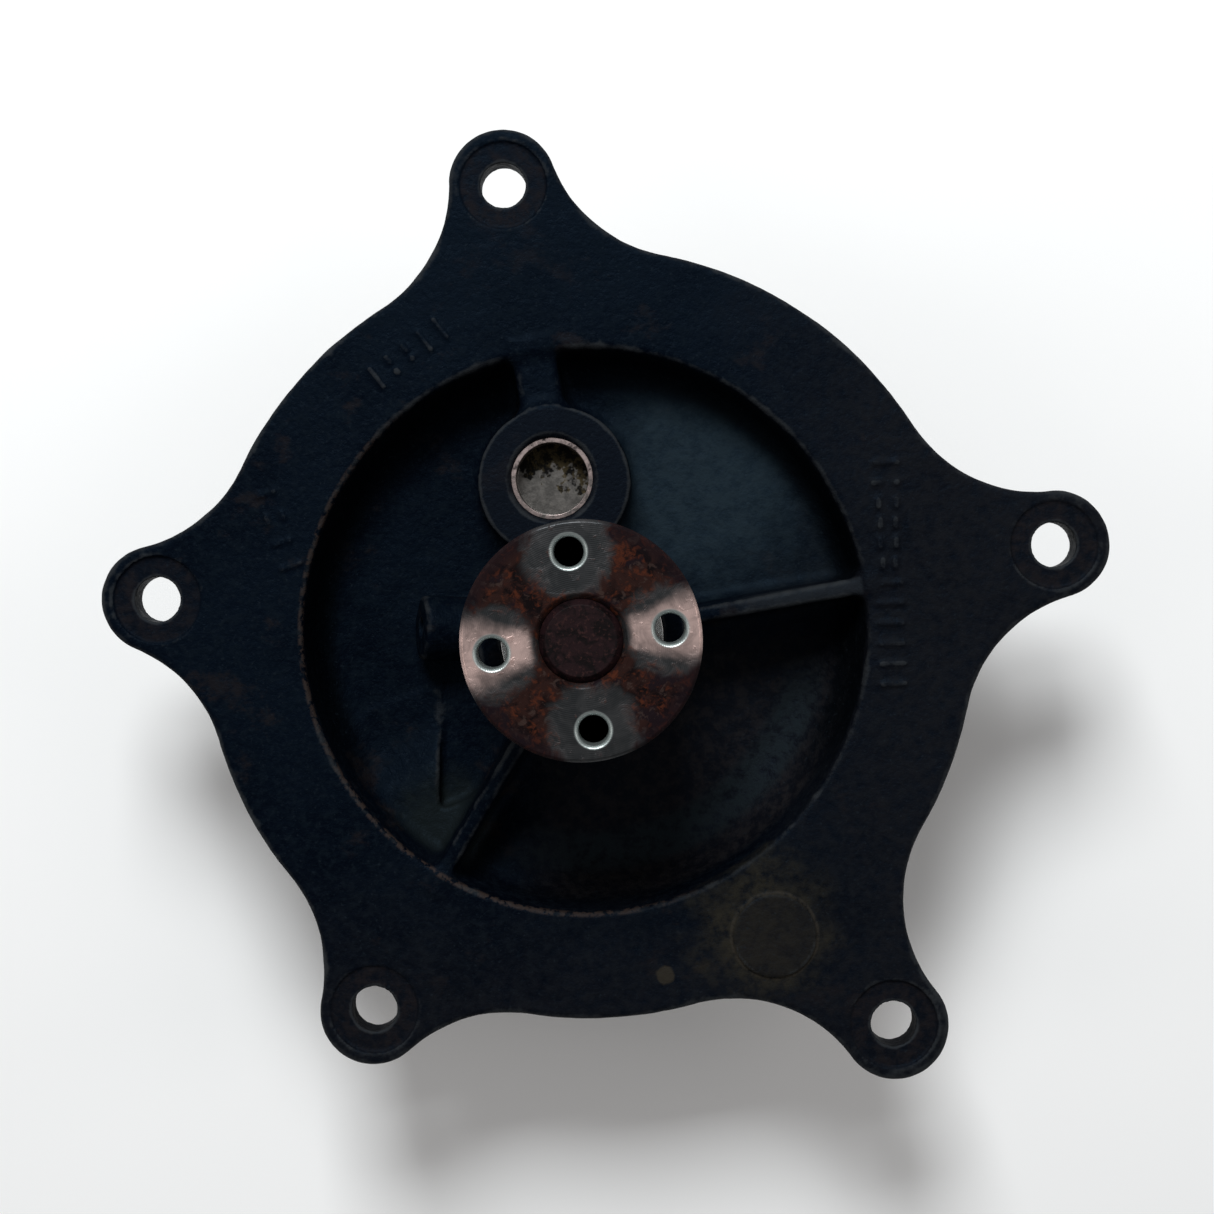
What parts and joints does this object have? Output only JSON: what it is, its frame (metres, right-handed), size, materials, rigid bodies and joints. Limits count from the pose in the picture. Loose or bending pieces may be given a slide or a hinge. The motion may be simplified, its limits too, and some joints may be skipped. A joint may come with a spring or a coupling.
{
  "type": "engine coolant pump",
  "caption": "Cast engine coolant pump with a lobed mounting flange, deep ribbed bowl, pulley hub on a bearing shaft, face seal and vaned impeller.",
  "frame": {"origin": "on the shaft axis, in the plane where the flange meets the engine", "axes": "+Z along the shaft towards the pulley hub, +X towards the right-hand lug, +Y towards the top lug"},
  "size_m": [0.2457, 0.2316, 0.1052],
  "materials": {
    "pump_housing": "satin",
    "core_plug": "satin",
    "flange_seal": "matte",
    "shaft": "satin",
    "bearing_race": "satin",
    "bearing_balls": "polished",
    "ball_cage": "matte",
    "bearing_rollers": "polished",
    "roller_cage": "matte",
    "front_lip_seal": "matte",
    "rear_lip_seal": "matte",
    "slinger": "satin",
    "pulley_hub": "satin",
    "seal_shell": "satin",
    "seal_bellows": "matte",
    "seal_spring": "satin",
    "spring_retainer": "satin",
    "bellows_band": "satin",
    "carbon_ring": "matte",
    "seat_ring": "satin",
    "seat_boot": "matte",
    "impeller": "matte"
  },
  "bodies": {
    "housing": {"pump_housing": "pump_housing", "core_plug": "core_plug", "flange_seal": "flange_seal", "bearing_race": "bearing_race", "front_lip_seal": "front_lip_seal", "rear_lip_seal": "rear_lip_seal", "seal_shell": "seal_shell", "seal_bellows": "seal_bellows", "seal_spring": "seal_spring"},
    "rotor": {"shaft": "shaft", "pulley_hub": "pulley_hub", "slinger": "slinger", "seat_ring": "seat_ring", "seat_boot": "seat_boot", "impeller": "impeller"},
    "ball_set": {"bearing_balls": "bearing_balls", "ball_cage": "ball_cage"},
    "roller_set": {"bearing_rollers": "bearing_rollers", "roller_cage": "roller_cage"},
    "seal_face": {"carbon_ring": "carbon_ring", "bellows_band": "bellows_band", "spring_retainer": "spring_retainer"}
  },
  "joints": [
    {"name": "shaft_spin", "type": "hinge", "parent": "housing", "child": "rotor", "pos_m": [0, 0, 0], "axis": [0, 0, 1], "continuous": true},
    {"name": "ball_cage_spin", "type": "hinge", "parent": "housing", "child": "ball_set", "pos_m": [0, 0, 0], "axis": [0, 0, 1], "continuous": true},
    {"name": "roller_cage_spin", "type": "hinge", "parent": "housing", "child": "roller_set", "pos_m": [0, 0, 0], "axis": [0, 0, 1], "continuous": true},
    {"name": "seal_face_float", "type": "slide", "parent": "housing", "child": "seal_face", "axis": [0, 0, 1], "range_m": [0, 0.0015], "stiffness_N_per_m": 3000, "deforming": ["seal_bellows", "seal_spring"]}
  ],
  "couplings": [
    {"joint": "ball_cage_spin", "follows": "shaft_spin", "ratio": 0.37099},
    {"joint": "roller_cage_spin", "follows": "shaft_spin", "ratio": 0.38826}
  ]
}
